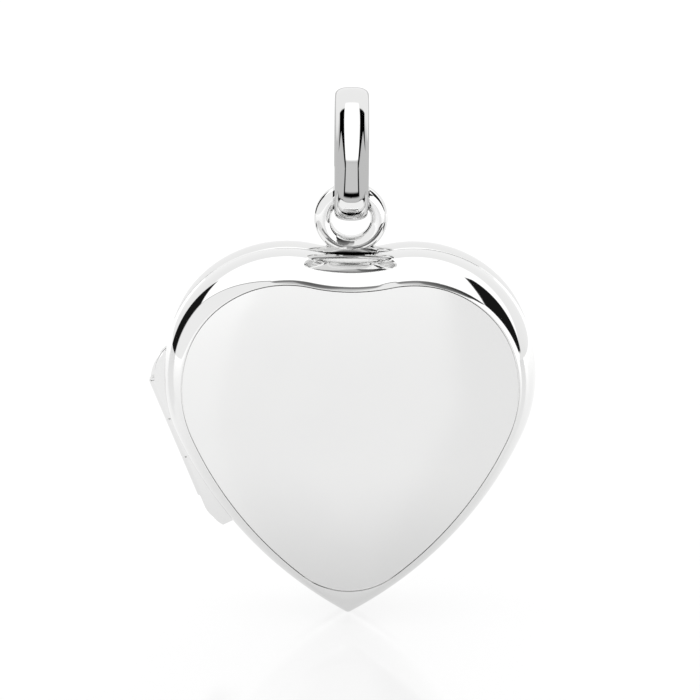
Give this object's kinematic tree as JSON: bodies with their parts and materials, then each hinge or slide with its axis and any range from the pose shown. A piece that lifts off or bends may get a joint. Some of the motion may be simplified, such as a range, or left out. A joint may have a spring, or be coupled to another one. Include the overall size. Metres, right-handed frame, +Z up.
{
  "type": "heart locket",
  "caption": "Plain heart-shaped locket with a hinged front cover, inner picture frames, a soldered ring and an oval bail.",
  "frame": {"origin": "where a chain rests: the middle of the bail's inside, at its top", "axes": "+Z up as the locket hangs, -Y the front cover's side, +X the right-hand side seen from the front"},
  "size_m": [0.026, 0.0089, 0.0363],
  "materials": {
    "silver": "mirror polished sterling silver",
    "paper": "uncoated card",
    "clear_plastic": "clear"
  },
  "bodies": {
    "bail": {"bail": "silver"},
    "back": {"suspension_ring": "silver", "back_cover": "silver", "back_rim": "silver", "catch_bead": "silver", "hinge_plate_back": "silver", "hinge_knuckle_upper": "silver", "hinge_knuckle_lower": "silver", "hinge_pin": "silver", "back_picture_card": "paper", "back_window": "clear_plastic"},
    "front": {"front_cover": "silver", "hinge_plate_front": "silver", "hinge_knuckle_middle": "silver", "front_picture_card": "paper", "front_window": "clear_plastic"},
    "front_frame": {"front_picture_frame": "silver"},
    "back_frame": {"back_picture_frame": "silver"}
  },
  "joints": [
    {"name": "bail_swing", "type": "hinge", "parent": "bail", "child": "back", "pos_m": [0, 0, -0.00622], "axis": [1, 0, 0], "range_deg": [-70, 70]},
    {"name": "cover_hinge", "type": "hinge", "parent": "back", "child": "front", "pos_m": [-0.01152, -0.0019, -0.02314], "axis": [0.3665, 0, -0.9304], "range_deg": [0, 165]},
    {"name": "front_frame_slide", "type": "slide", "parent": "front", "child": "front_frame", "axis": [0, 1, 0], "range_m": [0, 0.001]},
    {"name": "back_frame_slide", "type": "slide", "parent": "back", "child": "back_frame", "axis": [0, -1, 0], "range_m": [0, 0.001]}
  ]
}
